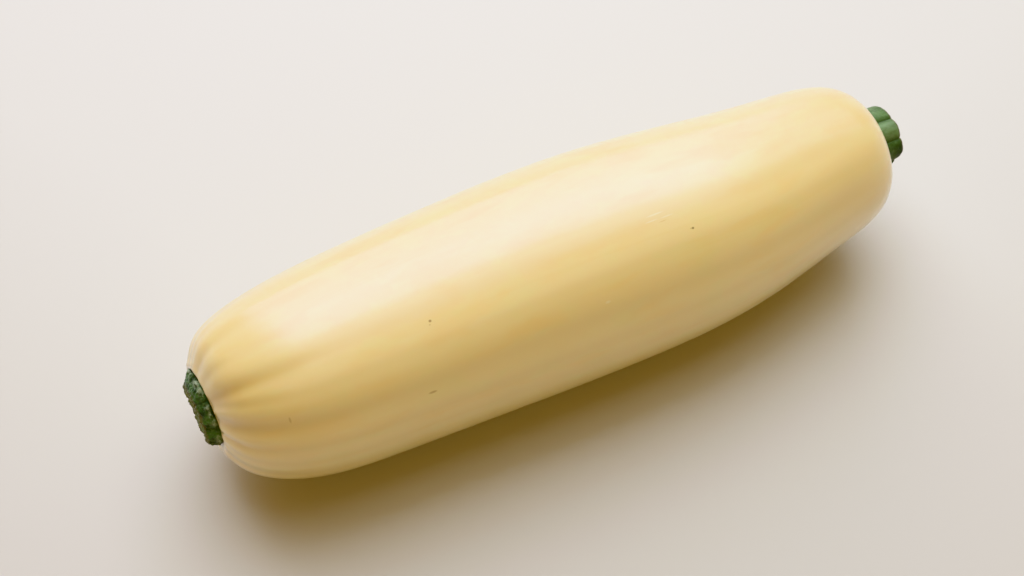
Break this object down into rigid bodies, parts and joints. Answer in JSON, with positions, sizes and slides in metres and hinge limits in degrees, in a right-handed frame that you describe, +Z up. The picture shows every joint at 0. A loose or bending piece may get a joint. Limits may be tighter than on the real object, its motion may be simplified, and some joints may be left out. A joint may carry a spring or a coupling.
{
  "type": "spaghetti squash",
  "caption": "Whole long pale-yellow spaghetti squash lying on its side, with a low ribbed rind, pleats at the stem end and a short cut green stub at each end.",
  "frame": {"origin": "bottom centre of the whole object's box, on the surface the squash lies on", "axes": "+X along the fruit from its stem end to its blossom end, +Z up, +Y to the left of that direction"},
  "size_m": [0.3002, 0.0862, 0.085],
  "materials": {
    "rind": null,
    "stem_green": null,
    "blossom_green": null
  },
  "bodies": {
    "root": {"squash_fruit": "rind", "stem_stub": "stem_green", "blossom_stub": "blossom_green"}
  },
  "joints": []
}
